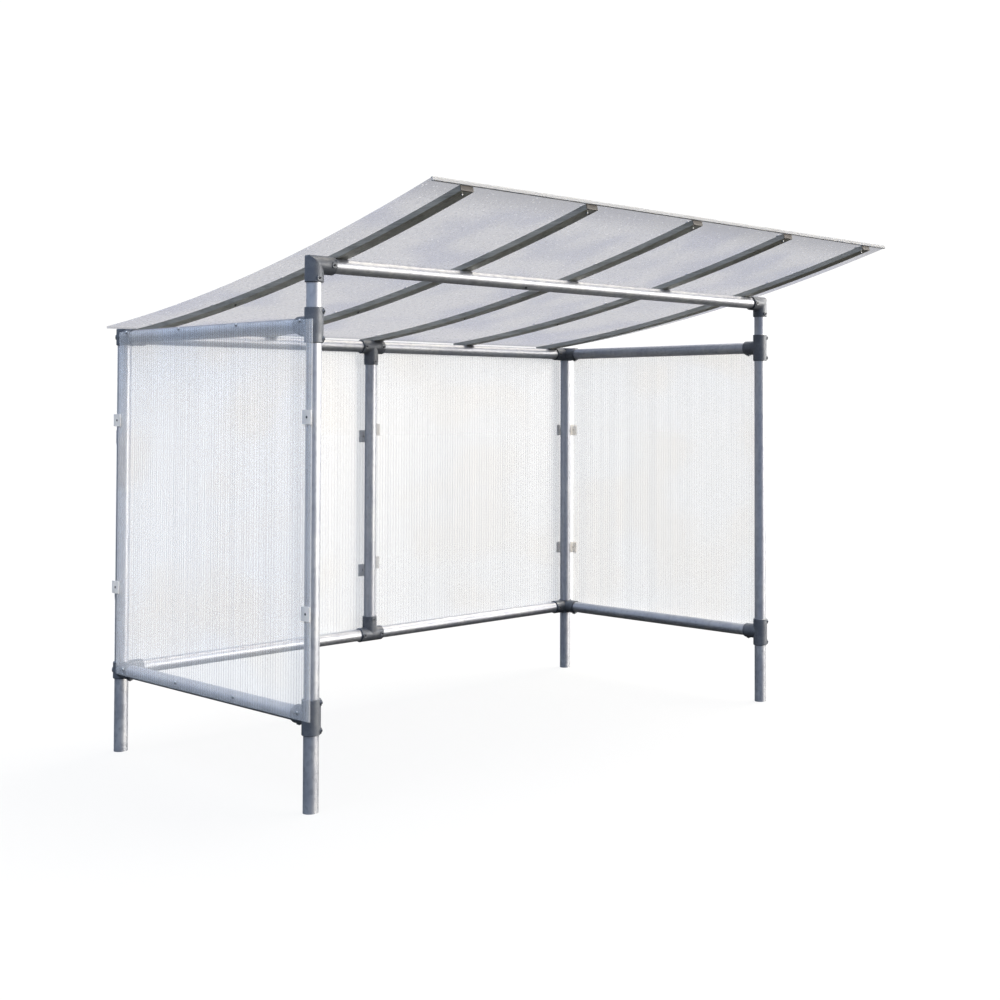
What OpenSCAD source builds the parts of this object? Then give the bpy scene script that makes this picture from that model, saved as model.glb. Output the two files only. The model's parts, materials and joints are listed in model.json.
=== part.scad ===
// Open-fronted bike shelter. A frame of round steel tube is joined by cast clamp fittings.
// Fluted translucent panels close the left, right and back, and a curved roof sheet lies on five flat rafters.
// Millimetres, Z up from the ground, open front towards -Y, origin on the ground under the middle of the whole.

/* [Frame] */
// Distance between the axes of the left and right posts
post_span = 2830; // [2200:10:3600]
// Distance between the axes of the front and back posts
post_depth = 1500; // [1100:10:1900]
// Height of the axes of the three bottom rails
bottom_rail_height = 370; // [200:5:700]
// Height of the axes of the side and back top rails
top_rail_height = 1895; // [1600:5:1970]
// Height of the axis of the front beam above the axes of the top rails
beam_rise = 237; // [165:1:360]
// Outside diameter of every frame tube
tube_diameter = 60.3; // [48.3:0.1:63.5]
// Wall of every frame tube
tube_wall = 2.9; // [2:0.1:5]
// Distance of the middle post to the right of the middle of the back wall, negative to the left
middle_shift = -30; // [-60:1:30]

/* [Clamp fittings] */
// Play between a tube and the bore of its fitting, each side
fit_clearance = 0.25; // [0.1:0.05:0.6]
// Wall of a cast fitting
fitting_wall = 6.6; // [5:0.1:9]
// Length of the sleeve of a tee
tee_length = 140; // [100:2:160]
// Length of the upright sleeve of a back corner fitting
corner_length = 76; // [75:1:110]
// Reach of a side outlet from the axis of the sleeve
outlet_reach = 95; // [80:1:120]
// Reach of the level leg of the front elbows from the corner of the axes
elbow_reach = 85; // [76:1:95]
// Reach of the upright leg of the front elbows from the corner of the axes
elbow_drop = 70; // [64:1:95]
// Radius on the outer corner of the elbows
elbow_round = 10; // [4:1:30]
// Chamfer on the rims of the fittings
rim_chamfer = 2.5; // [1:0.5:4]
// Diameter of the boss around a set screw
boss_diameter = 23; // [18:1:28]
// Height of the boss above the sleeve
boss_rise = 3; // [2:0.5:8]
// Diameter of the tapped hole for a set screw
screw_hole = 10; // [6:0.5:14]

/* [Roof] */
// How far the roof reaches in front of the axes of the front posts, edging included
front_overhang = 776; // [400:4:900]
// How far the roof reaches behind the axes of the back posts
back_overhang = 100; // [10:1:200]
// How far the roof reaches past the axes of the left and right posts
roof_side_overhang = 38; // [34:1:200]
// Radius of the undersides of the rafters
roof_radius = 12800; // [8000:100:20000]
// Thickness of the roof sheet
roof_thickness = 10; // [4:1:16]
// Distance from the axes of the side posts in to the middles of the outer rafters
rafter_inset = 125; // [100:5:400]
// Width of a rafter
rafter_width = 60; // [30:1:80]
// Depth of a rafter
rafter_height = 22; // [16:1:50]
// Wall of the hollow rafters
rafter_wall = 2; // [1:0.1:3]
// Thickness of the caps on the ends of the rafters
cap_thickness = 3; // [2:0.5:6]
// Gap between the edging of the sheet and the front caps of the rafters
rafter_setback = 1; // [0.5:0.5:100]
// Distance from the back edge of the sheet to the back caps of the rafters
rafter_back_setback = 2; // [1:0.5:6]
// Wall of the edging on the front of the sheet
edging_wall = 2; // [1:0.5:3]
// How far the edging grips over the sheet
edging_grip = 8; // [4:1:18]

/* [Walls] */
// Thickness of the wall panels, from skin to skin
panel_thickness = 6; // [4:1:16]
// Distance between the upright ribs of the panels, rounded to fit the width of a panel
flute_pitch = 18; // [8:1:40]
// Thickness of the skins and ribs of the panels
panel_skin = 0.8; // [0.4:0.1:1.2]
// How far the panels hang below the axes of the bottom rails
panel_drop = 10; // [4:1:28]
// How far the panels stand above the axes of the top rails
panel_rise = 21; // [4:1:28]
// How far the left side panel reaches in front of the axis of its front post
side_panel_front = 48; // [40:1:60]
// How much further back the front edge and the front clips of the right side panel are
right_panel_inset = 46; // [0:1:50]
// Distance from the back edges of the side panels to the axes of the back posts
side_panel_back = 30; // [0:1:40]
// How far the back panels reach past the axes of the corner posts
back_panel_end = 14; // [4:1:30]
// Gap between the two back panels, on the axis of the middle post
panel_joint = 4; // [2:1:8]

/* [Clip plates] */
// Width of a clip plate
clip_width = 60; // [40:1:80]
// Height of a clip plate of the left wall
clip_height = 56; // [30:1:80]
// Height of a clip plate of the back wall and the right wall
back_clip_height = 64; // [30:1:80]
// Thickness of a clip plate
clip_thickness = 2.5; // [1.5:0.5:5]
// Diameter of the screw hole in a clip plate
clip_hole = 7; // [4:0.5:10]
// Distance from the rails in to the nearest clip plates of the left wall
clip_from_rail = 382; // [200:2:500]
// How much higher the front clip plates of the left wall are than the back ones
front_clip_lift = 22; // [0:1:40]
// Distance from the axis of a post to the clip plates of the side walls, towards the front
clip_setback = 22; // [10:1:26]
// Length of the straps that hold the right back panel to the middle post
strap_length = 92; // [70:1:140]
// How far the clips of the left back panel reach past their screws at the middle post
middle_reach = 27; // [15:1:40]
// Distance of the screws of the middle clips from the axis of the middle post
middle_screw = 15; // [10:1:20]
// Distance from the bottom rail up to the lower clips of the back wall and the right wall
back_clip_low = 352; // [200:2:450]
// Distance from the top rail down to the upper clips of the back wall and the right wall
back_clip_high = 460; // [200:2:500]
// Difference in height between the two clips of a pair on the middle post
clip_stagger = 33; // [0:1:60]

/* [Hidden] */
$fn = 96;
arc_facets = 2880;
tube_r = tube_diameter / 2;
bore_r = tube_r + fit_clearance;
sleeve_r = bore_r + fitting_wall;
// How far a cut runs past the face that it opens
cut = 1;
// Land between a boss and the chamfer of its leg
boss_land = 2;
screw_seat = outlet_reach - boss_diameter / 2 - rim_chamfer - boss_land;
elbow_seat = elbow_reach - boss_diameter / 2 - rim_chamfer - boss_land;
elbow_low_seat = elbow_drop - boss_diameter / 2 - rim_chamfer - boss_land;
tee_seat = tee_length / 2 - boss_diameter / 2 - rim_chamfer - boss_land;
// Tubes that meet a crossing tube stop just short of it
end_gap = 2;
tube_stop = tube_r + end_gap;
post_x = post_span / 2;
front_beam_height = top_rail_height + beam_rise;
// The wall panels rest on the sleeves of the fittings
wall_in = sleeve_r;
wall_out = wall_in + panel_thickness;
// The whole reaches from the front edge of the roof to whichever is further back, the roof or the back clips
back_reach = max(back_overhang, wall_out + clip_thickness);
whole_depth = front_overhang + post_depth + back_reach;
front_y = -whole_depth / 2 + front_overhang;
back_y = front_y + post_depth;
roof_half = post_x + roof_side_overhang;
rafters = 5;
rafter_pitch = (post_span - 2 * rafter_inset) / (rafters - 1);
back_post_top = top_rail_height + corner_length / 2;
front_post_top = front_beam_height - tube_stop;
panel_low = bottom_rail_height - panel_drop;
panel_high = top_rail_height + panel_rise;
clip_heights = [bottom_rail_height + clip_from_rail, top_rail_height - clip_from_rail];
back_clip_heights = [bottom_rail_height + back_clip_low, top_rail_height - back_clip_high];
// The undersides of the rafters touch the front beam and the back top rail
seat_chord = norm([post_depth, beam_rise]);
seat_rise = sqrt(pow(roof_radius + tube_r, 2) - pow(seat_chord / 2, 2));
arc_y = (front_y + back_y) / 2 + seat_rise * beam_rise / seat_chord;
arc_z = (front_beam_height + top_rail_height) / 2 + seat_rise * post_depth / seat_chord;
sheet_low_r = roof_radius - rafter_height;
sheet_top_r = sheet_low_r - roof_thickness;
edging_front = asin((arc_y - front_y + front_overhang) / (sheet_low_r + edging_wall));
degrees_per_mm = 180 / (PI * sheet_low_r);
sheet_front = edging_front - edging_wall * degrees_per_mm;
sheet_back = asin((arc_y - back_y - back_overhang) / sheet_top_r);
rafter_front = sheet_front - (edging_grip + rafter_setback + cap_thickness) * degrees_per_mm;
rafter_back = sheet_back + (rafter_back_setback + cap_thickness) * degrees_per_mm;
cap_angle = cap_thickness * degrees_per_mm;
steel = [0.66, 0.69, 0.74];
casting = [0.45, 0.48, 0.53];
aluminium = [0.62, 0.63, 0.6];
clear_sheet = [0.9, 0.93, 0.96];
opal_sheet = [0.82, 0.82, 0.86];
white_metal = [0.93, 0.93, 0.92];
cap_grey = [0.45, 0.42, 0.4];

// Turns what is drawn along +Z to run along a named direction
module toward(dir) {
    angles = dir == "+x" ? [0, 90, 0]
        : dir == "-x" ? [0, -90, 0]
        : dir == "+y" ? [-90, 0, 0]
        : dir == "-y" ? [90, 0, 0]
        : dir == "-z" ? [180, 0, 0]
        : [0, 0, 0];
    rotate(angles) children();
}

// Length of frame tube from a point along a direction
module tube(start, dir, length) {
    color(steel)
    translate(start)
    toward(dir)
    difference() {
        cylinder(r = tube_r, h = length);
        translate([0, 0, -cut]) cylinder(r = tube_r - tube_wall, h = length + 2 * cut);
    }
}

// Solid leg of a fitting from the middle of the fitting, with a chamfered rim
module leg(dir, reach) {
    toward(dir)
    rotate_extrude()
    polygon([
        [0, 0],
        [sleeve_r, 0],
        [sleeve_r, reach - rim_chamfer],
        [sleeve_r - rim_chamfer, reach],
        [0, reach]
    ]);
}

// Solid sleeve with chamfered rims, centred on the middle of the fitting
module sleeve(dir, length) {
    toward(dir)
    rotate_extrude()
    polygon([
        [0, -length / 2],
        [sleeve_r - rim_chamfer, -length / 2],
        [sleeve_r, rim_chamfer - length / 2],
        [sleeve_r, length / 2 - rim_chamfer],
        [sleeve_r - rim_chamfer, length / 2],
        [0, length / 2]
    ]);
}

// Boss around a set screw, from a point on the axis of a leg, facing a direction
module boss(at, facing, turn) {
    translate(at)
    rotate([0, 0, turn])
    toward(facing)
    cylinder(d = boss_diameter, h = sleeve_r + boss_rise);
}

// Hole of a set screw, from inside the bore of the fitting outwards
module screw_bore(at, facing, turn) {
    translate(at)
    rotate([0, 0, turn])
    toward(facing)
    translate([0, 0, bore_r / 2])
    cylinder(d = screw_hole, h = sleeve_r + boss_rise);
}

// Bore of a leg or a sleeve
module bore(dir, start, length) {
    toward(dir)
    translate([0, 0, start])
    cylinder(r = bore_r, h = length);
}

// Tee: a sleeve on a through tube and one outlet
// screws lists [place on the axis of a leg, direction that the boss faces, turn about Z]
module tee(sleeve_dir, outlet_dir, screws) {
    color(casting)
    difference() {
        union() {
            sleeve(sleeve_dir, tee_length);
            leg(outlet_dir, outlet_reach);
            for (s = screws) boss(s[0], s[1], s[2]);
        }
        bore(sleeve_dir, -tee_length, 2 * tee_length);
        bore(outlet_dir, 0, outlet_reach + cut);
        for (s = screws) screw_bore(s[0], s[1], s[2]);
    }
}

// Back corner fitting: an upright sleeve with outlets towards the front and towards the middle
// Its screws face out of the corner, downwards on the side rail and into the shelter on the back rail
module back_corner(side) {
    middle_dir = side < 0 ? "+x" : "-x";
    screws = [
        [[0, 0, 0], "+y", -side * 45],
        [[0, -screw_seat, 0], "-z", 0],
        [[-side * screw_seat, 0, 0], "-y", 0]
    ];
    color(casting)
    difference() {
        union() {
            sleeve("+z", corner_length);
            leg("-y", outlet_reach);
            leg(middle_dir, outlet_reach);
            for (s = screws) boss(s[0], s[1], s[2]);
        }
        bore("+z", -corner_length, 2 * corner_length);
        bore("-y", 0, outlet_reach + cut);
        bore(middle_dir, 0, outlet_reach + cut);
        for (s = screws) screw_bore(s[0], s[1], s[2]);
    }
}

// Outline of an elbow seen from the front, with its outer corner rounded
module elbow_outline() {
    reach = elbow_reach + cut;
    drop = elbow_drop + cut;
    union() {
        translate([elbow_round - sleeve_r, -drop])
        square([reach + sleeve_r, drop + sleeve_r]);
        translate([-sleeve_r, -drop])
        square([reach + sleeve_r, drop + sleeve_r - elbow_round]);
        translate([elbow_round - sleeve_r, sleeve_r - elbow_round])
        circle(r = elbow_round);
    }
}

// Half of space on one side of the mitre of an elbow, turn 0 towards the level leg, 180 towards the lower leg
module mitre_side(turn) {
    size = 4 * (elbow_reach + elbow_drop);
    rotate([0, 45 + turn, 0])
    translate([-size / 2, -size / 2, 0])
    cube(size);
}

// Elbow with one leg down and one towards +X, mitred, with its outer corner rounded
// The bores end in a shoulder that stops the tubes, and a narrower passage joins them
module elbow() {
    screws = [[[0, 0, -elbow_low_seat], "-y", 0], [[elbow_seat, 0, 0], "-y", 0]];
    color(casting)
    difference() {
        union() {
            intersection() {
                union() {
                    intersection() {
                        translate([0, 0, sleeve_r]) leg("-z", elbow_drop + sleeve_r);
                        mitre_side(180);
                    }
                    intersection() {
                        translate([-sleeve_r, 0, 0]) leg("+x", elbow_reach + sleeve_r);
                        mitre_side(0);
                    }
                }
                rotate([90, 0, 0])
                linear_extrude(height = 4 * sleeve_r, center = true)
                elbow_outline();
            }
            for (s = screws) boss(s[0], s[1], s[2]);
        }
        for (dir = ["-z", "+x"]) {
            bore(dir, tube_stop - fit_clearance, elbow_reach);
            toward(dir) cylinder(r = tube_r - tube_wall, h = tube_stop);
        }
        for (s = screws) screw_bore(s[0], s[1], s[2]);
    }
}

// Sweeps a section about the axis of the roof, between two angles from straight below that axis
// The section is drawn with its distance from the axis along X and its place across the roof along Y
module swept(front_angle, back_angle) {
    translate([0, arc_y, arc_z])
    rotate([90, 0, 90])
    rotate([0, 0, 270 - front_angle])
    rotate_extrude(angle = front_angle - back_angle, $fn = arc_facets)
    children();
}

// Rectangular section between two radii of the roof, centred on x
module section(outer_r, inner_r, x, width) {
    translate([inner_r, x - width / 2])
    square([outer_r - inner_r, width]);
}

// Place of a rafter across the roof, counted from the left
function rafter_x(number) = (number - (rafters + 1) / 2) * rafter_pitch;

// Hollow curved rafter
module rafter(number) {
    x = rafter_x(number);
    color(aluminium)
    swept(rafter_front, rafter_back)
    difference() {
        section(roof_radius, sheet_low_r, x, rafter_width);
        section(
            roof_radius - rafter_wall,
            sheet_low_r + rafter_wall,
            x,
            rafter_width - 2 * rafter_wall
        );
    }
}

// Room that the middle rafter leaves for the tee of the middle post
module tee_notch() {
    translate([0, back_y, top_rail_height])
    rotate([0, 90, 0])
    cylinder(r = sleeve_r + fit_clearance, h = 2 * rafter_width, center = true);
}

// Middle rafter, notched underneath where it crosses the tee of the middle post
module middle_rafter() {
    color(aluminium)
    difference() {
        rafter(3);
        tee_notch();
    }
}

// Caps that close both ends of every rafter, the middle one cut to the notch of its rafter
module rafter_end_caps() {
    color(cap_grey)
    difference() {
        for (number = [1 : rafters]) {
            swept(rafter_front + cap_angle, rafter_front)
            section(roof_radius, sheet_low_r, rafter_x(number), rafter_width);
            swept(rafter_back, rafter_back - cap_angle)
            section(roof_radius, sheet_low_r, rafter_x(number), rafter_width);
        }
        tee_notch();
    }
}

// Curved sheet on the rafters
module roof_sheet() {
    color(opal_sheet)
    swept(sheet_front, sheet_back)
    section(sheet_low_r, sheet_top_r, 0, 2 * roof_half);
}

// U-shaped edging along the front of the sheet
module roof_front_edging() {
    grip_angle = edging_grip * degrees_per_mm;
    color(white_metal)
    difference() {
        swept(edging_front, sheet_front - grip_angle)
        section(sheet_low_r + edging_wall, sheet_top_r - edging_wall, 0, 2 * roof_half);
        swept(sheet_front, sheet_front - 2 * grip_angle)
        section(sheet_low_r, sheet_top_r, 0, 2 * roof_half + 2 * cut);
    }
}

// Section of a twin-wall sheet along X: two skins joined by ribs, closed at both ends
module fluted_section(width) {
    cells = round((width - panel_skin) / flute_pitch);
    pitch = (width - panel_skin) / cells;
    difference() {
        square([width, panel_thickness]);
        for (cell = [0 : cells - 1]) {
            translate([cell * pitch + panel_skin, panel_skin])
            square([pitch - panel_skin, panel_thickness - 2 * panel_skin]);
        }
    }
}

// Upright twin-wall panel, its width along X and its thickness along Y
module fluted_panel(width) {
    color(clear_sheet)
    linear_extrude(height = panel_high - panel_low)
    fluted_section(width);
}

// Side wall panel on the outside of the frame; side is -1 on the left and 1 on the right
module side_panel(side) {
    front_reach = side_panel_front - (side < 0 ? 0 : right_panel_inset);
    width = post_depth + front_reach - side_panel_back;
    x = side < 0 ? -post_x - wall_in : post_x + wall_out;
    translate([x, front_y - front_reach, panel_low])
    rotate([0, 0, 90])
    fluted_panel(width);
}

// Back wall panel from the middle post to a corner post; side is -1 on the left and 1 on the right
module back_panel(side) {
    outer = side * (post_x + back_panel_end);
    inner = middle_shift + side * panel_joint / 2;
    translate([min(outer, inner), back_y + wall_in, panel_low])
    fluted_panel(abs(outer - inner));
}

// Flat plate of a clip lying in X and Y with its screw hole at the origin
// left and right are its reaches from the hole
module clip(left, right, height) {
    difference() {
        translate([-left, -height / 2, 0])
        cube([left + right, height, clip_thickness]);
        translate([0, 0, -cut])
        cylinder(d = clip_hole, h = clip_thickness + 2 * cut);
    }
}

// Clip plate of a side wall at a place along the depth and a height
module side_clip(side, y, z, height) {
    half = clip_width / 2;
    translate([side * (post_x + wall_out), y, z])
    rotate([90, 0, side * 90])
    clip(half, half, height);
}

// Clip plates of the left wall
module left_clips() {
    color(white_metal)
    for (z = clip_heights) {
        side_clip(-1, front_y - clip_setback, z + front_clip_lift, clip_height);
        side_clip(-1, back_y - clip_setback, z, clip_height);
    }
}

// Clip plates of the right wall
module right_clips() {
    color(white_metal)
    for (z = back_clip_heights) {
        side_clip(1, front_y - clip_setback + right_panel_inset, z, back_clip_height);
        side_clip(1, back_y - clip_setback, z, back_clip_height);
    }
}

// Clip plates of the back wall: one pair at each corner post and two pairs at the middle post
module back_clips() {
    half = clip_width / 2;
    color(white_metal)
    translate([0, back_y + wall_out, 0])
    for (z = back_clip_heights) {
        translate([-post_x, 0, z])
        rotate([90, 0, 180])
        clip(half, back_panel_end, back_clip_height);
        translate([post_x, 0, z])
        rotate([90, 0, 180])
        clip(back_panel_end, half, back_clip_height);
        translate([middle_shift - middle_screw, 0, z - clip_stagger / 2])
        rotate([90, 0, 180])
        clip(middle_screw - panel_joint / 2, middle_reach, back_clip_height);
        translate([middle_shift + middle_screw, 0, z + clip_stagger / 2])
        rotate([90, 0, 180])
        clip(strap_length - middle_screw, middle_screw - panel_joint / 2, back_clip_height);
    }
}

// Front tee: two screws in the sleeve face forwards and to the right, and that of the outlet downwards
module front_tee() {
    tee("+z", "+y", [
        [[0, 0, tee_seat], "-y", 45],
        [[0, 0, -tee_seat], "-y", 45],
        [[0, screw_seat, 0], "-z", 0]
    ]);
}

// Tee of the middle post on a back rail, its screws facing into the shelter
module middle_tee(outlet_dir) {
    seat = outlet_dir == "+z" ? screw_seat : -screw_seat;
    tee("+x", outlet_dir, [
        [[tee_seat, 0, 0], "-y", 0],
        [[-tee_seat, 0, 0], "-y", 0],
        [[0, 0, seat], "-y", 0]
    ]);
}

module placed_corner(side, z) {
    translate([side * post_x, back_y, z]) back_corner(side);
}

module corner_post(side, y, top) {
    tube([side * post_x, y, 0], "+z", top);
}

module cross_rail(y, z) {
    tube([tube_stop - post_x, y, z], "+x", post_span - 2 * tube_stop);
}

module side_rail(side, z) {
    tube([side * post_x, front_y + tube_stop, z], "+y", post_depth - 2 * tube_stop);
}

module middle_post() {
    length = top_rail_height - bottom_rail_height - 2 * tube_stop;
    tube([middle_shift, back_y, bottom_rail_height + tube_stop], "+z", length);
}

corner_post(-1, front_y, front_post_top);  // front_left_post
corner_post(1, front_y, front_post_top);  // front_right_post
corner_post(-1, back_y, back_post_top);  // back_left_post
corner_post(1, back_y, back_post_top);  // back_right_post
middle_post();  // back_middle_post
cross_rail(front_y, front_beam_height);  // front_beam
cross_rail(back_y, top_rail_height);  // back_top_rail
cross_rail(back_y, bottom_rail_height);  // back_bottom_rail
side_rail(-1, top_rail_height);  // left_top_rail
side_rail(1, top_rail_height);  // right_top_rail
side_rail(-1, bottom_rail_height);  // left_bottom_rail
side_rail(1, bottom_rail_height);  // right_bottom_rail
translate([-post_x, front_y, front_beam_height]) elbow();  // front_left_elbow
translate([post_x, front_y, front_beam_height]) mirror([1, 0, 0]) elbow();  // front_right_elbow
translate([-post_x, front_y, top_rail_height]) front_tee();  // front_left_upper_tee
translate([post_x, front_y, top_rail_height]) front_tee();  // front_right_upper_tee
translate([-post_x, front_y, bottom_rail_height]) front_tee();  // front_left_lower_tee
translate([post_x, front_y, bottom_rail_height]) front_tee();  // front_right_lower_tee
placed_corner(-1, top_rail_height);  // back_left_top_corner
placed_corner(1, top_rail_height);  // back_right_top_corner
placed_corner(-1, bottom_rail_height);  // back_left_lower_corner
placed_corner(1, bottom_rail_height);  // back_right_lower_corner
translate([middle_shift, back_y, top_rail_height]) middle_tee("-z");  // back_middle_top_tee
translate([middle_shift, back_y, bottom_rail_height]) middle_tee("+z");  // back_middle_lower_tee
rafter(1);  // rafter_1
rafter(2);  // rafter_2
middle_rafter();  // rafter_3
rafter(4);  // rafter_4
rafter(5);  // rafter_5
rafter_end_caps();
roof_sheet();
roof_front_edging();
side_panel(-1);  // left_wall_panel
side_panel(1);  // right_wall_panel
back_panel(-1);  // back_left_panel
back_panel(1);  // back_right_panel
left_clips();  // left_wall_clips
right_clips();  // right_wall_clips
back_clips();  // back_wall_clips
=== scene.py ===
"""Looks of an open-fronted bike shelter: tube in cast clamp fittings, clear walls and a curved opal roof.

The solids come packed in one frame, in metres, with Z up and the open front facing -Y. This file gives each
solid its finish, adds the screws that hold the pieces together, and sets the floor, the light and the camera.
"""

from __future__ import annotations

import json
import logging
import math
from collections.abc import Mapping, Sequence
from dataclasses import dataclass
from enum import Enum

import bpy
import numpy as np
from mathutils import Matrix, Vector

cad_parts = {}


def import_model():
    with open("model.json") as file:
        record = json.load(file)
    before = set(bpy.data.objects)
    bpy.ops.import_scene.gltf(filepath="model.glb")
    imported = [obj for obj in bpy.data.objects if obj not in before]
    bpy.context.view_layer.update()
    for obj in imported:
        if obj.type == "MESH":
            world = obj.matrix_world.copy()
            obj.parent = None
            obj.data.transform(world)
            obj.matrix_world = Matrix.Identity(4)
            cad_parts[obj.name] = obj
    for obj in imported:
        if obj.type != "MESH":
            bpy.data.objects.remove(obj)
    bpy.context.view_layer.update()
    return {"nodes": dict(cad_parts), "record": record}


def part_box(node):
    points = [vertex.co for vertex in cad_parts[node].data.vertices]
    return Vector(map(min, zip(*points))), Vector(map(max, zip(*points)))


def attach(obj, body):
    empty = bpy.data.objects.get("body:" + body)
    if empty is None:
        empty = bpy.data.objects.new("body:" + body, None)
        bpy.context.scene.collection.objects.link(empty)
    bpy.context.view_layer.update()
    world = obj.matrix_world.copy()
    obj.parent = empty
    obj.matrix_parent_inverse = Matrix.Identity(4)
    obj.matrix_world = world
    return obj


log = logging.getLogger("bike_shelter")

MM = 0.001
STEEP = math.radians(25)
CREASE = math.radians(35)
BODY = "root"


# Materials


def linear(colour: str) -> tuple[float, float, float, float]:
    """Turns an sRGB hex colour into linear light.

    Args:
        colour: the colour as "#rrggbb".

    Returns:
        Red, green, blue and an alpha of one.
    """
    srgb = np.array([int(colour[i:i + 2], 16) for i in (1, 3, 5)]) / 255.0
    light = np.where(srgb <= 0.04045, srgb / 12.92, ((srgb + 0.055) / 1.055) ** 2.4)
    return (*(float(v) for v in light), 1.0)


def add_node(tree: bpy.types.NodeTree, kind: str, inputs: Mapping[str | int, object],
             **settings: object) -> bpy.types.Node:
    """Adds a node, sets its properties and fills its inputs.

    Args:
        tree: the node tree of a material or of the world.
        kind: the node's type, without the leading "ShaderNode".
        inputs: a value or another node's output for each input, by name or by place.
        settings: the node's own properties.

    Returns:
        The new node.
    """
    node = tree.nodes.new("ShaderNode" + kind)
    for key, value in settings.items():
        setattr(node, key, value)
    for key, value in inputs.items():
        if isinstance(value, bpy.types.NodeSocket):
            tree.links.new(value, node.inputs[key])
        else:
            node.inputs[key].default_value = value
    return node


class Grain(Enum):
    """What a pattern looks like."""

    CLOUD = "soft cloudy patches"
    CELL = "crystals, each of one tone"
    DOT = "round dots scattered one to a cell"
    HEIGHT = "an even change with the height above the ground"


@dataclass(frozen=True)
class Layer:
    """A pattern laid over a finish: a colour, and a change in roughness and relief, where it covers.

    The pattern's value runs from bare, where nothing is covered, to full. Heights count in the layer's size.
    """

    grain: Grain
    size_mm: tuple[float, float, float]
    colour: str
    bare: float
    full: float
    cover: float = 1.0
    rough: float = 0.0
    relief_mm: float = 0.0
    detail: float = 3.0

    def mask(self, tree: bpy.types.NodeTree, place: bpy.types.NodeSocket) -> bpy.types.NodeSocket:
        """Draws where the layer covers.

        Args:
            tree: the material's node tree.
            place: the object coordinates.

        Returns:
            A value from 0, bare, to the layer's cover.
        """
        scale = tuple(1.0 / (size * MM) for size in self.size_mm)
        cells = add_node(tree, "Mapping", {"Vector": place, "Scale": scale}).outputs["Vector"]
        pattern = {"Vector": cells, "Scale": 1.0}
        if self.grain is Grain.HEIGHT:
            value = add_node(tree, "SeparateXYZ", {"Vector": cells}).outputs["Z"]
        elif self.grain is Grain.CLOUD:
            value = add_node(tree, "TexNoise", {**pattern, "Detail": self.detail}).outputs["Fac"]
        elif self.grain is Grain.CELL:
            tones = add_node(tree, "TexVoronoi", pattern).outputs["Color"]
            value = add_node(tree, "SeparateColor", {"Color": tones}).outputs["Red"]
        else:
            value = add_node(tree, "TexVoronoi", pattern).outputs["Distance"]
        ends = {"Value": value, "From Min": self.bare, "From Max": self.full, "To Max": self.cover}
        return add_node(tree, "MapRange", ends, interpolation_type="SMOOTHSTEP").outputs["Result"]


@dataclass(frozen=True)
class Finish:
    """One real material with the way its surface was made.

    Of the light that meets a face, the clear share goes straight through, and of the rest the hazy share is
    scattered through it.
    """

    name: str
    slot: str
    colour: str
    rough: float
    layers: tuple[Layer, ...]
    metallic: float = 0.0
    ior: float = 1.5
    clear: float = 0.0
    hazy: float = 0.0

    def material(self) -> bpy.types.Material:
        """Gives the finish's Blender material, made once.

        Returns:
            The material.
        """
        return bpy.data.materials.get(self.name) or self.make()

    def make(self) -> bpy.types.Material:
        """Lays the finish's patterns over its colour, roughness and relief, one after another.

        Returns:
            The new material.
        """
        material = bpy.data.materials.new(self.name)
        material.use_nodes = True
        tree = material.node_tree
        tree.nodes.clear()
        place = add_node(tree, "TexCoord", {}).outputs["Object"]
        colour: object = linear(self.colour)
        rough: object = self.rough
        relief: dict[str, object] = {}
        for layer in self.layers:
            mask = layer.mask(tree, place)
            colours = {0: mask, 6: colour, 7: linear(layer.colour)}
            colour = add_node(tree, "Mix", colours, data_type="RGBA").outputs[2]
            if layer.rough:
                sums = {0: mask, 1: layer.rough, 2: rough}
                rough = add_node(tree, "Math", sums, operation="MULTIPLY_ADD", use_clamp=True).outputs[0]
            if layer.relief_mm:
                raised = {"Height": mask, "Distance": layer.relief_mm * MM, **relief}
                relief = {"Normal": add_node(tree, "Bump", raised).outputs["Normal"]}
        surface = {"Base Color": colour, "Roughness": rough, "Metallic": self.metallic, "IOR": self.ior}
        shader = add_node(tree, "BsdfPrincipled", {**surface, **relief}).outputs[0]
        if self.hazy:
            glow = add_node(tree, "BsdfTranslucent", {"Color": colour, **relief}).outputs[0]
            shader = add_node(tree, "MixShader", {0: self.hazy, 1: shader, 2: glow}).outputs[0]
        if self.clear:
            gap = add_node(tree, "BsdfTransparent", {}).outputs[0]
            shader = add_node(tree, "MixShader", {0: self.clear, 1: shader, 2: gap}).outputs[0]
        add_node(tree, "OutputMaterial", {"Surface": shader})
        return material

    def dress(self, piece: bpy.types.Object) -> None:
        """Puts the finish on every face of a piece.

        Args:
            piece: a mesh object.
        """
        piece.data.materials.clear()
        piece.data.materials.append(self.material())


# Hot-dip galvanised steel tube: dull zinc with faint crystals, paler cloudy runs and a few grey stains.
GALVANISED_TUBE = Finish(
    "galvanised_steel_tube", "galvanised_tube", "#a3a7b0", 0.48, metallic=0.8,
    layers=(
        Layer(Grain.CLOUD, (90, 90, 160), "#b6b9bc", 0.42, 0.68, 0.55, rough=0.06),
        Layer(Grain.CELL, (14, 14, 18), "#8d929b", 0.45, 0.95, 0.45, rough=-0.08, relief_mm=0.05),
        Layer(Grain.DOT, (45, 45, 60), "#7c7f84", 0.16, 0.05, 0.40, rough=0.15),
    ),
)
# Galvanised iron casting: sand texture, darker than the tube. Its 0.6 mm grit is drawn at 4 mm to show.
CAST_FITTING = Finish(
    "galvanised_iron_casting", "cast_fitting", "#565b63", 0.52, metallic=0.4,
    layers=(
        Layer(Grain.CLOUD, (35, 35, 35), "#686c72", 0.42, 0.66, 0.60, rough=-0.08),
        Layer(Grain.CLOUD, (4, 4, 4), "#42464d", 0.48, 0.70, 0.55, rough=0.10, relief_mm=0.35),
    ),
)
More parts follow.
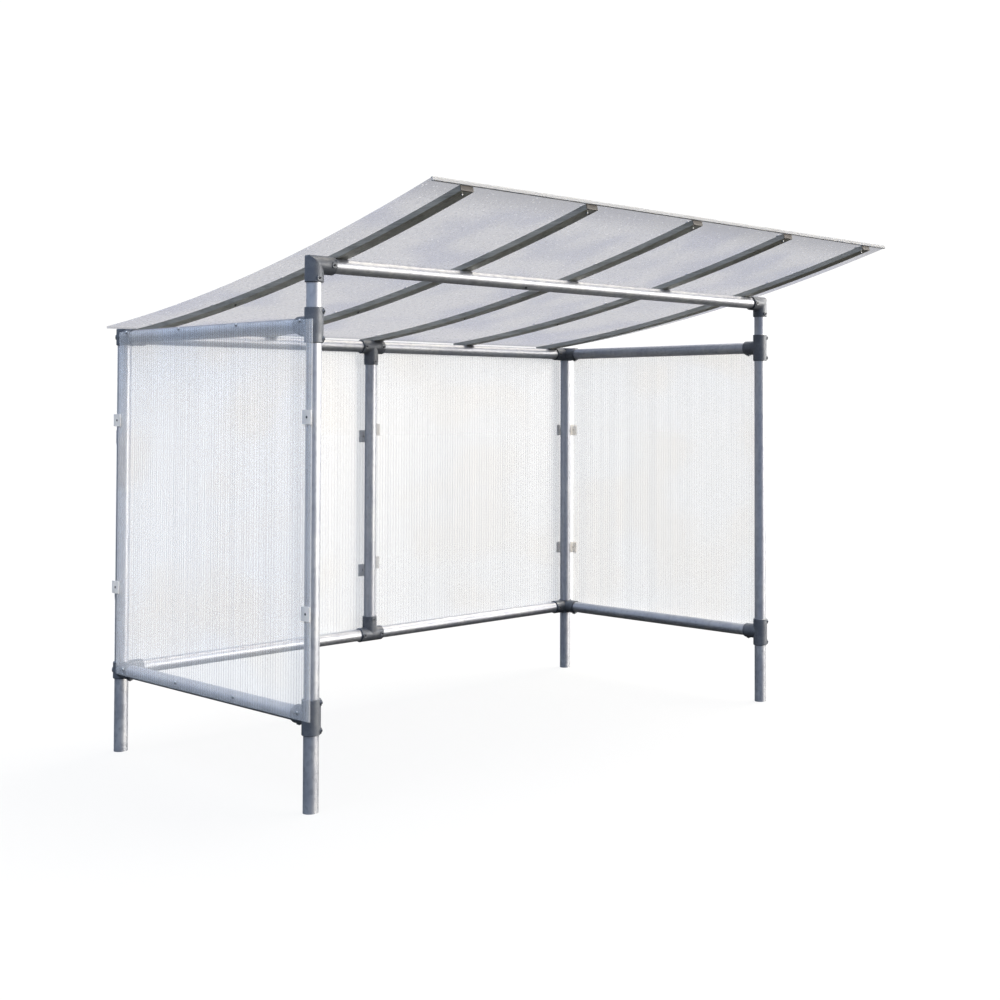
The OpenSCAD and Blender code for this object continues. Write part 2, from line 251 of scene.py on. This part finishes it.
# Extruded aluminium left as it came from the die: lines along the length, water stains, dull.
MILL_ALUMINIUM = Finish(
    "mill_finish_aluminium", "rafter_metal", "#a4a6a1", 0.50, metallic=0.65,
    layers=(
        Layer(Grain.CLOUD, (40, 120, 40), "#7d7f79", 0.44, 0.70, 0.65, rough=0.12),
        Layer(Grain.CLOUD, (6, 900, 6), "#c2c4be", 0.45, 0.62, 0.50, rough=-0.06, relief_mm=0.04),
    ),
)
# Injection-moulded cap: matt and scuffed, with a spark-eroded grain of 0.5 mm, drawn at 3 mm to show.
MOULDED_CAP = Finish(
    "moulded_polyethylene_cap", "cap_plastic", "#45413d", 0.60, ior=1.51,
    layers=(
        Layer(Grain.CLOUD, (18, 18, 18), "#57524d", 0.48, 0.72, 0.50, rough=0.10),
        Layer(Grain.CLOUD, (3, 3, 3), "#36322e", 0.48, 0.68, 0.35, relief_mm=0.20),
    ),
)
# Extruded opal sheet: milky, with bluish patches, dust grains, bright specks, darker towards its front edge.
OPAL_SHEET = Finish(
    "opal_polycarbonate_sheet", "opal_sheet", "#a0a2a9", 0.38, ior=1.585, clear=0.5, hazy=0.55,
    layers=(
        Layer(Grain.CLOUD, (260, 420, 260), "#80859a", 0.40, 0.68, 0.65, detail=1.0),
        Layer(Grain.CLOUD, (11, 13, 11), "#707380", 0.46, 0.70, 0.60, rough=0.15, detail=1.0),
        # darker towards the high front edge, from 2.32 m to 2.385 m up
        Layer(Grain.HEIGHT, (1000, 1000, 1000), "#6c6f7a", 2.32, 2.385, 0.75),
        Layer(Grain.DOT, (32, 38, 32), "#d2d4da", 0.15, 0.08),
    ),
)
# Rolled strip in white paint gone chalky: nearly matt, a little dusty, thin enough for its lips to glow.
PAINTED_STRIP = Finish(
    "white_painted_strip", "white_edging", "#c8cacc", 0.72, hazy=0.6,
    layers=(
        Layer(Grain.CLOUD, (120, 60, 60), "#b4b5b5", 0.50, 0.75, 0.45, rough=0.15),
        Layer(Grain.CLOUD, (4, 4, 4), "#bcbcbc", 0.50, 0.70, 0.30, relief_mm=0.05),
    ),
)
# Extruded clear twin-wall sheet: each skin takes a little light; painted warm patches stand in for the
# surroundings seen through it, a painted bluish sky tint grows towards the top, and lines of the die run
# along the flutes, finer than 1 mm and drawn at 10 mm to show.
TWIN_WALL_SHEET = Finish(
    "clear_twin_wall_polycarbonate", "fluted_sheet", "#e8eaec", 0.30, ior=1.585, clear=0.87, hazy=0.08,
    layers=(
        # painted bluish sky tint, growing with the height from 1.35 m to 1.95 m
        Layer(Grain.HEIGHT, (1000, 1000, 1000), "#e3eaf3", 1.35, 1.95, 0.80),
        # painted warm patches standing in for the surroundings seen through the sheet
        Layer(Grain.CLOUD, (420, 420, 260), "#e6e1d9", 0.46, 0.70, 0.70, detail=0.0),
        Layer(Grain.CLOUD, (10, 10, 4000), "#b4bac2", 0.42, 0.66, 0.60, detail=0.0),
    ),
)
# Off-white coated clip plate: it stays pale against the light; orange peel of 2 mm, drawn at 4 mm, and dust.
COATED_PLATE = Finish(
    "off_white_coated_plate", "clip_metal", "#eae9e7", 0.42, hazy=0.45,
    layers=(
        Layer(Grain.CLOUD, (28, 28, 28), "#d8d6d3", 0.48, 0.72, 0.50, rough=0.12),
        Layer(Grain.CLOUD, (4, 4, 4), "#efeeec", 0.46, 0.66, 0.40, relief_mm=0.10),
    ),
)
# Turned steel with a blackened finish: dark, half dull, worn bright in places.
BLACKENED_STEEL = Finish(
    "blackened_steel_screw", "cast_fitting", "#484b50", 0.45, metallic=0.6,
    layers=(
        Layer(Grain.CLOUD, (5, 5, 5), "#62656b", 0.50, 0.72, 0.55, rough=-0.10),
        Layer(Grain.CLOUD, (2, 2, 2), "#2b2c30", 0.48, 0.66, 0.40, relief_mm=0.10),
    ),
)
# Turned steel with bright zinc: pale, half glossy, slightly clouded.
ZINC_STEEL = Finish(
    "zinc_plated_steel_screw", "clip_metal", "#b9bcc0", 0.32, metallic=0.85,
    layers=(
        Layer(Grain.CLOUD, (6, 6, 6), "#9a9da3", 0.46, 0.70, 0.50, rough=0.14),
        Layer(Grain.CLOUD, (2, 2, 2), "#c9ccd0", 0.48, 0.66, 0.30, relief_mm=0.06),
    ),
)
SOLID_FINISHES = (GALVANISED_TUBE, CAST_FITTING, MILL_ALUMINIUM, MOULDED_CAP, OPAL_SHEET, PAINTED_STRIP,
                  TWIN_WALL_SHEET, COATED_PLATE)


# Shapes


@dataclass(frozen=True)
class Ring:
    """One ring of a turned screw: its radius, its height on the axis, and whether it is a hexagon."""

    radius_mm: float
    height_mm: float
    hexagon: bool = False


@dataclass(frozen=True)
class ScrewShape:
    """A turned screw, as a row of rings from its hidden root out to its head and into its socket."""

    rings: tuple[Ring, ...]
    sides: int = 24

    def surface(self, seats: np.ndarray, axes: np.ndarray) -> tuple[np.ndarray, list[list[int]]]:
        """Works out the surface of one screw at each seat.

        A point is seat + axis * height + radius * (cos(turn) * side + sin(turn) * up). On a hexagon the
        radius is the distance to the flat divided by the cosine of the turn from the middle of that flat.
        Neighbouring rings are joined by four-sided faces, and the first and the last ring are closed flat.

        Args:
            seats: the point on each screw's axis that heights are measured from, N by 3.
            axes: the direction each screw's head faces, N by 3, of length one.

        Returns:
            The points, and the point numbers of each face.
        """
        turn = np.arange(self.sides) * (math.tau / self.sides)
        off_flat = (turn + math.pi / 6) % (math.pi / 3) - math.pi / 6
        is_hexagon = np.array([[ring.hexagon] for ring in self.rings])
        to_flat = np.array([[ring.radius_mm] for ring in self.rings]) * MM
        radius = to_flat / np.where(is_hexagon, np.cos(off_flat), 1.0)
        height = np.array([ring.height_mm for ring in self.rings]) * MM
        steep = np.abs(axes[:, 2:]) > math.cos(STEEP)
        side = np.cross(np.where(steep, (1.0, 0.0, 0.0), (0.0, 0.0, 1.0)), axes)
        side /= np.linalg.norm(side, axis=1, keepdims=True)
        up = np.cross(axes, side)
        round_it = (np.cos(turn)[:, None] * side[:, None, None, :]
                    + np.sin(turn)[:, None] * up[:, None, None, :])
        along = seats[:, None, None, :] + axes[:, None, None, :] * height[:, None, None]
        points = along + round_it * radius[None, :, :, None]

        count = len(self.rings)
        ring, at = np.meshgrid(np.arange(count - 1), np.arange(self.sides), indexing="ij")
        after = (at + 1) % self.sides
        corners = (ring * self.sides + at, ring * self.sides + after,
                   (ring + 1) * self.sides + after, (ring + 1) * self.sides + at)
        quads = np.stack(corners, axis=-1).reshape(-1, 4)
        caps = np.stack([np.arange(self.sides)[::-1], (count - 1) * self.sides + np.arange(self.sides)])
        first = (np.arange(len(seats)) * count * self.sides)[:, None, None]
        faces = (quads + first).reshape(-1, 4).tolist() + (caps + first).reshape(-1, self.sides).tolist()
        return points.reshape(-1, 3), faces


def make_piece(name: str, points: np.ndarray, faces: Sequence[Sequence[int]],
               finish: Finish) -> bpy.types.Object:
    """Makes a mesh piece in its place, dresses it and lets it ride with the shelter.

    Args:
        name: the piece's name.
        points: the points of its surface, N by 3, in metres.
        faces: the point numbers of each face, outward.
        finish: what it is made of.

    Returns:
        The new object.
    """
    mesh = bpy.data.meshes.new(name)
    mesh.from_pydata(points.tolist(), [], faces)
    mesh.shade_smooth()
    mesh.set_sharp_from_angle(angle=CREASE)
    piece = bpy.data.objects.new(name, mesh)
    bpy.context.scene.collection.objects.link(piece)
    finish.dress(piece)
    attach(piece, BODY)
    return piece


# The tube frame


@dataclass(frozen=True)
class TubeFrame:
    """Where the axes of the posts and rails run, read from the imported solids."""

    post_x: float
    middle_x: float
    front_y: float
    back_y: float
    low_z: float
    high_z: float
    beam_z: float
    tube_radius: float

    @classmethod
    def read(cls) -> TubeFrame:
        """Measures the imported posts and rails.

        Returns:
            The frame's axes.
        """
        def middle(node: str) -> Vector:
            """Gives the middle of a solid's box.

            Args:
                node: the solid's name.

            Returns:
                The point.
            """
            low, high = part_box(node)
            return (low + high) / 2

        front, back = middle("front_right_post"), middle("back_right_post")
        low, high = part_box("front_beam")
        return cls(post_x=front.x, middle_x=middle("back_middle_post").x, front_y=front.y, back_y=back.y,
                   low_z=middle("left_bottom_rail").z, high_z=middle("left_top_rail").z,
                   beam_z=(low.z + high.z) / 2, tube_radius=(high.z - low.z) / 2)


@dataclass
class FittingScrews:
    """Socket set screws that clamp each cast fitting to its tubes."""

    frame: TubeFrame
    elbow_screw: float = 0.069
    elbow_low_screw: float = 0.054
    tee_screw: float = 0.054
    outlet_screw: float = 0.079
    proud: ScrewShape = ScrewShape((
        Ring(4.8, 30.4), Ring(4.8, 42.7), Ring(4.1, 43.5),
        Ring(2.9, 43.5, True), Ring(2.5, 43.1, True), Ring(2.5, 39.0, True)))
    flush: ScrewShape = ScrewShape((
        Ring(4.8, 30.4), Ring(4.8, 38.8), Ring(4.1, 39.6),
        Ring(2.9, 39.6, True), Ring(2.5, 39.2, True), Ring(2.5, 35.0, True)))

    def build(self) -> list[bpy.types.Object]:
        """Places the screws on every fitting: proud ones in the open, flush ones at the corners of the walls.

        Returns:
            The proud and the flush screws, one piece each.
        """
        f = self.frame
        proud: list[tuple[tuple[float, float, float], tuple[float, float, float]]] = []
        flush: list[tuple[tuple[float, float, float], tuple[float, float, float]]] = []
        slant = math.sqrt(0.5)
        for side in (-1, 1):
            x = side * f.post_x
            proud.append(((x, f.front_y, f.beam_z - self.elbow_low_screw), (0, -1, 0)))
            proud.append(((x - side * self.elbow_screw, f.front_y, f.beam_z), (0, -1, 0)))
            for z in (f.low_z, f.high_z):
                proud.append(((x, f.front_y, z - self.tee_screw), (slant, -slant, 0)))
                proud.append(((x, f.front_y, z + self.tee_screw), (slant, -slant, 0)))
                proud.append(((x, f.front_y + self.outlet_screw, z), (0, 0, -1)))
                flush.append(((x, f.back_y, z), (side * slant, slant, 0)))
                proud.append(((x, f.back_y - self.outlet_screw, z), (0, 0, -1)))
                proud.append(((x - side * self.outlet_screw, f.back_y, z), (0, -1, 0)))
        for z, inward in ((f.low_z, 1), (f.high_z, -1)):
            proud.append(((f.middle_x - self.tee_screw, f.back_y, z), (0, -1, 0)))
            proud.append(((f.middle_x + self.tee_screw, f.back_y, z), (0, -1, 0)))
            proud.append(((f.middle_x, f.back_y, z + inward * self.outlet_screw), (0, -1, 0)))
        pieces = []
        rows = (("set_screws", self.proud, proud), ("recessed_set_screws", self.flush, flush))
        for name, shape, places in rows:
            seats, axes = np.array(places, float).transpose(1, 0, 2)
            pieces.append(make_piece(name, *shape.surface(seats, axes), BLACKENED_STEEL))
        return pieces


@dataclass
class WallScrews:
    """Screws that hold the wall sheets to the rails and the clip plates to the posts."""

    frame: TubeFrame
    screws_on_rail: int = 4
    first_screw: float = 0.033
    side_spacing: float = 0.457
    back_margin: float = 0.11
    above_axis: float = 0.017
    clip_from_rail: float = 0.382
    clip_setback: float = 0.022
    right_inset: float = 0.046
    front_lift: float = 0.022
    back_clip_low: float = 0.352
    back_clip_high: float = 0.460
    middle_screw: float = 0.015
    middle_stagger: float = 0.0165
    washered: ScrewShape = ScrewShape((
        Ring(7.5, -0.2), Ring(7.5, 0.8), Ring(7.1, 1.2), Ring(5.8, 1.3), Ring(5.6, 2.4),
        Ring(4.6, 3.6), Ring(2.4, 4.1), Ring(1.8, 4.1, True), Ring(1.7, 2.4, True)))
    button: ScrewShape = ScrewShape((
        Ring(2.8, -2.4), Ring(2.8, -0.1), Ring(5.4, 0.0), Ring(5.1, 1.0), Ring(3.9, 2.0),
        Ring(2.2, 2.4), Ring(1.7, 2.4, True), Ring(1.6, 1.0, True)))

    def build(self) -> list[bpy.types.Object]:
        """Places the screws on the outer faces of the sheets and the clip plates.

        Returns:
            The sheet screws and the clip screws, one piece each.
        """
        return [self.sheet_screws(), self.clip_screws()]

    def sheet_screws(self) -> bpy.types.Object:
        """Places a row of washered screws along each rail of each wall sheet, a little above the rail's axis.

        Returns:
            The piece.
        """
        f = self.frame
        heights = (f.low_z + self.above_axis, f.high_z + self.above_axis)
        places = []
        for node, side in (("left_wall_panel", -1), ("right_wall_panel", 1)):
            low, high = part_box(node)
            face = low.x if side < 0 else high.x
            for number in range(self.screws_on_rail):
                y = f.front_y + self.first_screw + number * self.side_spacing
                places += [((face, y, z), (side, 0, 0)) for z in heights]
        for node in ("back_left_panel", "back_right_panel"):
            low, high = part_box(node)
            for x in np.linspace(low.x + self.back_margin, high.x - self.back_margin, self.screws_on_rail):
                places += [((x, high.y, z), (0, 1, 0)) for z in heights]
        seats, axes = np.array(places, float).transpose(1, 0, 2)
        return make_piece("wall_sheet_screws", *self.washered.surface(seats, axes), ZINC_STEEL)

    def clip_screws(self) -> bpy.types.Object:
        """Places one button-head screw in the hole of each clip plate.

        Returns:
            The piece.
        """
        f = self.frame
        front, rear = f.front_y - self.clip_setback, f.back_y - self.clip_setback
        left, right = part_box("left_wall_clips")[0].x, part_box("right_wall_clips")[1].x
        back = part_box("back_wall_clips")[1].y
        places = []
        for z in (f.low_z + self.clip_from_rail, f.high_z - self.clip_from_rail):
            places += [((left, front, z + self.front_lift), (-1, 0, 0)), ((left, rear, z), (-1, 0, 0))]
        for z in (f.low_z + self.back_clip_low, f.high_z - self.back_clip_high):
            places += [((right, y, z), (1, 0, 0)) for y in (front + self.right_inset, rear)]
            places += [((side * f.post_x, back, z), (0, 1, 0)) for side in (-1, 1)]
            for side in (-1, 1):
                seat = (f.middle_x + side * self.middle_screw, back, z + side * self.middle_stagger)
                places.append((seat, (0, 1, 0)))
        seats, axes = np.array(places, float).transpose(1, 0, 2)
        return make_piece("clip_screws", *self.button.surface(seats, axes), BLACKENED_STEEL)


@dataclass
class RoofScrews:
    """Screws under the rafters, on top of the roof sheet and in the front beam."""

    frame: TubeFrame
    roof_radius: float = 12.8
    rafter_height: float = 0.022
    sheet_thickness: float = 0.010
    rafters: tuple[str, ...] = ("rafter_1", "rafter_2", "rafter_3", "rafter_4", "rafter_5")
    under_y: float = 0.358
    front_y: float = -1.150
    top_y: tuple[float, ...] = (-1.12, -0.56, 0.0, 0.54, 1.08)
    beam_screw_x: float = -0.312
    beam_screw_drop: float = 0.73
    flanged: ScrewShape = ScrewShape((
        Ring(2.4, -1.8), Ring(2.4, 0.0), Ring(6.2, 0.0), Ring(6.0, 1.0),
        Ring(4.0, 1.1, True), Ring(4.0, 4.4, True), Ring(3.5, 4.9)))
    washered: ScrewShape = ScrewShape((
        Ring(10.0, -0.2), Ring(10.0, 1.2), Ring(9.2, 2.0), Ring(5.0, 2.2),
        Ring(4.0, 2.3, True), Ring(4.0, 5.2, True), Ring(3.4, 5.7)))

    def arc_centre(self) -> np.ndarray:
        """Finds the axis the roof is bent about: as far from both tubes it rests on, above them.

        Returns:
            Y and Z of the axis.
        """
        f = self.frame
        beam, rail = np.array([f.front_y, f.beam_z]), np.array([f.back_y, f.high_z])
        chord = rail - beam
        span = np.linalg.norm(chord)
        rise = math.sqrt((self.roof_radius + f.tube_radius) ** 2 - (span / 2) ** 2)
        return (beam + rail) / 2 + rise * np.array([-chord[1], chord[0]]) / span

    def on_arc(self, radius: float, y: np.ndarray) -> tuple[np.ndarray, np.ndarray]:
        """Finds points of an arc about the roof's axis, below it, and the directions away from the axis.

        Args:
            radius: the arc's radius.
            y: where along the depth, one value a point.

        Returns:
            The points' Y and Z, and the unit directions' Y and Z.
        """
        centre = self.arc_centre()
        away = np.stack([y - centre[0], -np.sqrt(radius ** 2 - (y - centre[0]) ** 2)], axis=1)
        return centre + away, away / radius

    def build(self) -> list[bpy.types.Object]:
        """Places the roof's screws.

        Returns:
            The screws under the rafters, those on the sheet and the one in the beam.
        """
        across = np.array([sum(corner.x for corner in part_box(node)) / 2 for node in self.rafters])
        sheet_top = self.roof_radius - self.rafter_height - self.sheet_thickness
        under = self.place(across, self.roof_radius, (self.under_y,), 1.0)
        front = self.place(across, self.roof_radius, (self.front_y,), 1.0)
        top = self.place(across, sheet_top, self.top_y, -1.0)
        drop = self.beam_screw_drop
        facing = np.array([[0.0, -math.sqrt(1 - drop ** 2), -drop]])
        beam_axis = np.array([[self.beam_screw_x, self.frame.front_y, self.frame.beam_z]])
        beam = (beam_axis + facing * self.frame.tube_radius, facing)
        return [
            make_piece("rafter_screws", *self.flanged.surface(*under), BLACKENED_STEEL),
            make_piece("rafter_front_screws", *self.flanged.surface(*front), ZINC_STEEL),
            make_piece("roof_sheet_screws", *self.washered.surface(*top), ZINC_STEEL),
            make_piece("beam_screw", *self.flanged.surface(*beam), BLACKENED_STEEL),
        ]

    def place(self, across: np.ndarray, radius: float, depths: Sequence[float],
              sense: float) -> tuple[np.ndarray, np.ndarray]:
        """Spreads seats over rafters and depths on one arc.

        Args:
            across: X of each rafter.
            radius: the arc's radius.
            depths: Y of each row of screws.
            sense: 1 for heads that face away from the roof's axis, -1 for heads that face it.

        Returns:
            The seats and the axes.
        """
        x, y = (grid.ravel() for grid in np.meshgrid(across, np.array(depths), indexing="ij"))
        points, away = self.on_arc(radius, y)
        seats = np.column_stack([x, points])
        axes = np.column_stack([np.zeros_like(x), sense * away])
        return seats, axes


# The studio


@dataclass(frozen=True)
class Lamp:
    """A distant lamp: where it stands as seen from the shelter, its strength and how soft it is."""

    name: str
    toward: tuple[float, float]
    height: float
    strength: float
    colour: str
    spread: float

    def hang(self) -> None:
        """Hangs the lamp so that it shines from its direction; angles are in degrees."""
        light = bpy.data.lights.new(self.name, "SUN")
        light.energy = self.strength
        light.angle = math.radians(self.spread)
        light.color = linear(self.colour)[:3]
        height = math.radians(self.height)
        level = Vector((*self.toward, 0.0)).normalized() * math.cos(height)
        lamp = bpy.data.objects.new(self.name, light)
        lamp.rotation_euler = Vector((level.x, level.y, math.sin(height))).to_track_quat("Z", "Y").to_euler()
        bpy.context.scene.collection.objects.link(lamp)


@dataclass
class Studio:
    """Pale floor, soft sky, two low lamps at the right, a high one on each side, and the camera."""

    floor_reach: float = 60.0
    white: str = "#ffffff"
    floor_seen: str = "#f0f4f8"
    floor_lit: str = "#2c2c2b"
    floor_glow: float = 0.95
    floor_shine: float = 0.93
    sky: str = "#b9c7df"
    ground: str = "#2e2d2b"
    horizon: tuple[float, float] = (-0.06, 0.10)
    sky_strength: float = 1.4
    seen_white: float = 1.0385
    lamps: tuple[Lamp, ...] = (
        Lamp("side_lamp", (0.67, -0.74), 9.0, 4.5, "#fff5e6", 30.0),
        Lamp("rim_lamp", (0.99, -0.05), 8.0, 2.5, "#fffaf2", 40.0),
        Lamp("top_lamp", (0.95, -0.15), 60.0, 7.5, "#fff0d8", 40.0),
        Lamp("left_lamp", (-0.95, -0.30), 55.0, 2.4, "#e2eaf6", 50.0),
    )
    eye: tuple[float, float, float] = (-4.655, -5.1558, 1.5741)
    yaw: float = 0.8434
    pitch: float = 0.0250
    roll: float = 0.0007
    focal_px: float = 1425.19
    middle_px: tuple[float, float] = (668.57, 371.61)
    frame_px: float = 1000.0
    sensor_mm: float = 36.0
    sheets_seen_through: int = 64
    light_bounces: int = 4
    dull_bounces: int = 2
    gloss_bounces: int = 1

    def build(self) -> None:
        """Sets the floor, the sky, the lamps, the camera and how many sheets light is followed through."""
        scene = bpy.context.scene
        scene.view_settings.view_transform = "Standard"
        scene.cycles.transparent_max_bounces = self.sheets_seen_through
        scene.cycles.max_bounces = self.light_bounces
        scene.cycles.diffuse_bounces = self.dull_bounces
        scene.cycles.glossy_bounces = self.gloss_bounces
        self.lay_floor()
        self.hang_sky()
        for lamp in self.lamps:
            lamp.hang()
        self.set_camera()

    def lay_floor(self) -> None:
        """Lays a square floor at the posts' feet: pale with a faint shadow when seen, dark to other light."""
        reach = self.floor_reach
        corners = np.array([(-reach, -reach, 0), (reach, -reach, 0), (reach, reach, 0), (-reach, reach, 0)])
        mesh = bpy.data.meshes.new("floor")
        mesh.from_pydata(corners.tolist(), [], [(0, 1, 2, 3)])
        floor = bpy.data.objects.new("floor", mesh)
        bpy.context.scene.collection.objects.link(floor)
        material = bpy.data.materials.new("pale_studio_floor")
        material.use_nodes = True
        tree = material.node_tree
        tree.nodes.clear()
        seen = add_node(tree, "BsdfDiffuse", {"Color": linear(self.floor_seen)}).outputs[0]
        shine = {"Color": linear(self.white), "Strength": self.floor_shine}
        glow = add_node(tree, "Emission", shine).outputs[0]
        pale = add_node(tree, "MixShader", {0: self.floor_glow, 1: seen, 2: glow}).outputs[0]
        dull = add_node(tree, "BsdfDiffuse", {"Color": linear(self.floor_lit)}).outputs[0]
        is_seen = add_node(tree, "LightPath", {}).outputs["Is Camera Ray"]
        add_node(tree, "OutputMaterial", {
            "Surface": add_node(tree, "MixShader", {0: is_seen, 1: dull, 2: pale}).outputs[0]})
        mesh.materials.append(material)

    def hang_sky(self) -> None:
        """Hangs a sky that lights from above, is dark below, and is seen as plain white."""
        world = bpy.data.worlds.new("studio_sky")
        bpy.context.scene.world = world
        world.use_nodes = True
        tree = world.node_tree
        tree.nodes.clear()
        direction = add_node(tree, "TexCoord", {}).outputs["Generated"]
        up = add_node(tree, "SeparateXYZ", {"Vector": direction}).outputs["Z"]
        ends = {"Value": up, "From Min": self.horizon[0], "From Max": self.horizon[1]}
        level = add_node(tree, "MapRange", ends).outputs["Result"]
        tones = {0: level, 6: linear(self.ground), 7: linear(self.sky)}
        tone = add_node(tree, "Mix", tones, data_type="RGBA").outputs[2]
        light = add_node(tree, "Background", {"Color": tone, "Strength": self.sky_strength}).outputs[0]
        plain = {"Color": linear(self.white), "Strength": self.seen_white}
        white = add_node(tree, "Background", plain).outputs[0]
        is_seen = add_node(tree, "LightPath", {}).outputs["Is Camera Ray"]
        add_node(tree, "OutputWorld", {
            "Surface": add_node(tree, "MixShader", {0: is_seen, 1: light, 2: white}).outputs[0]})

    def set_camera(self) -> None:
        """Sets the camera from its eye point, its turn, and the focal length and picture middle in pixels."""
        ahead = Vector((math.sin(self.yaw) * math.cos(self.pitch), math.cos(self.yaw) * math.cos(self.pitch),
                        math.sin(self.pitch)))
        level = Vector((math.cos(self.yaw), -math.sin(self.yaw), 0.0))
        upright = level.cross(ahead)
        right = math.cos(self.roll) * level + math.sin(self.roll) * upright
        up = math.cos(self.roll) * upright - math.sin(self.roll) * level
        lens = bpy.data.cameras.new("camera")
        lens.sensor_width = self.sensor_mm
        lens.lens = self.focal_px / self.frame_px * self.sensor_mm
        lens.shift_x = 0.5 - self.middle_px[0] / self.frame_px
        lens.shift_y = self.middle_px[1] / self.frame_px - 0.5
        camera = bpy.data.objects.new("camera", lens)
        turn = Matrix((right, up, -ahead)).transposed().to_4x4()
        camera.matrix_world = Matrix.Translation(self.eye) @ turn
        bpy.context.scene.collection.objects.link(camera)
        bpy.context.scene.camera = camera


def dress_solids(frame: Mapping[str, object]) -> None:
    """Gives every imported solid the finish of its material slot.
    """
    finishes = {finish.slot: finish for finish in SOLID_FINISHES}
    for part in frame["record"]["subparts"]:
        finish = finishes[part["material_slot"]]
        finish.dress(frame["nodes"][part["node"]])
        log.info("%s: %s", part["node"], finish.name)


def main() -> None:
    """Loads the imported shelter, dresses it, adds its screws and sets the studio."""
    logging.basicConfig(level=logging.INFO, format="%(name)s %(message)s")
    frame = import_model()
    dress_solids(frame)
    tubes = TubeFrame.read()
    for assembly in (FittingScrews(tubes), WallScrews(tubes), RoofScrews(tubes)):
        for piece in assembly.build():
            log.info("%s: %d faces", piece.name, len(piece.data.polygons))
    Studio().build()


if __name__ == "__main__":
    main()
